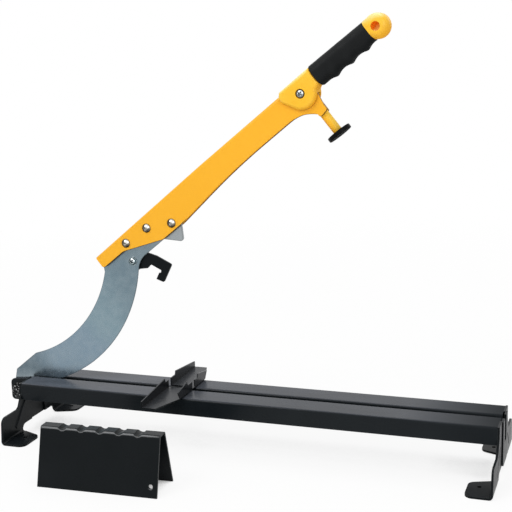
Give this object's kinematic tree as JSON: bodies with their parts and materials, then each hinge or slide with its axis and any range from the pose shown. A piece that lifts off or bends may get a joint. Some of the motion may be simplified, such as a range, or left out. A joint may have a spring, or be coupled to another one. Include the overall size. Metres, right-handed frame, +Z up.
{
  "type": "laminate flooring cutter",
  "caption": "Guillotine cutter for flooring planks: slotted twin-beam base on flanged feet, hinged curved blade on a long lever with grip and stop, latch hook, loose fence and stand.",
  "frame": {"origin": "on the floor, at the centre of the four foot holes", "axes": "+X along the beams from the pivot end, +Y to the rear, +Z up"},
  "size_m": [0.6345, 0.2743, 0.5113],
  "materials": {
    "beam_grey": "satin dark grey powder coat",
    "black_steel": "satin black powder coat",
    "dark_bolt": "blackened steel",
    "zinc_steel": "zinc plated",
    "blade_steel": "ground sheet steel",
    "yellow_paint": "gloss yellow powder coat",
    "yellow_plastic": "semi-gloss moulded plastic",
    "black_rubber": "matt moulded rubber"
  },
  "bodies": {
    "base": {"front_beam": "beam_grey", "rear_beam": "beam_grey", "left_bracket": "black_steel", "right_bracket": "black_steel", "pivot_bolt": "dark_bolt", "pivot_nut": "dark_bolt", "pivot_washers": "dark_bolt", "pivot_spacers": "zinc_steel", "latch_pin": "zinc_steel"},
    "lever": {"blade": "blade_steel", "arm": "yellow_paint", "arm_rivets": "zinc_steel", "blade_spacers": "zinc_steel", "handle": "yellow_plastic", "grip": "black_rubber", "handle_screw": "zinc_steel", "handle_nut": "zinc_steel", "stop_rod": "yellow_paint", "stop_pad": "black_rubber", "stop_screw": "zinc_steel", "hook_screw": "zinc_steel", "hook_washers": "zinc_steel", "hook_nut": "zinc_steel"},
    "hook": {"latch_hook": "black_steel"},
    "loose_fence": {"fence": "black_steel"},
    "loose_stand": {"stand": "black_steel"}
  },
  "joints": [
    {"name": "lever_swing", "type": "hinge", "parent": "base", "child": "lever", "pos_m": [-0.318, 0, 0.0446], "axis": [0, -1, 0], "range_deg": [-35.49, 36.5]},
    {"name": "hook_turn", "type": "hinge", "parent": "lever", "child": "hook", "pos_m": [-0.14916, -0.0011, 0.22248], "axis": [0, -1, 0], "range_deg": [-18, 30]},
    {"name": "fence_lift", "type": "slide", "parent": "base", "child": "loose_fence", "axis": [0, 0, 1], "range_m": [0, 0.004]},
    {"name": "stand_lift", "type": "slide", "parent": "base", "child": "loose_stand", "axis": [0, 0, 1], "range_m": [0, 0.08]}
  ]
}
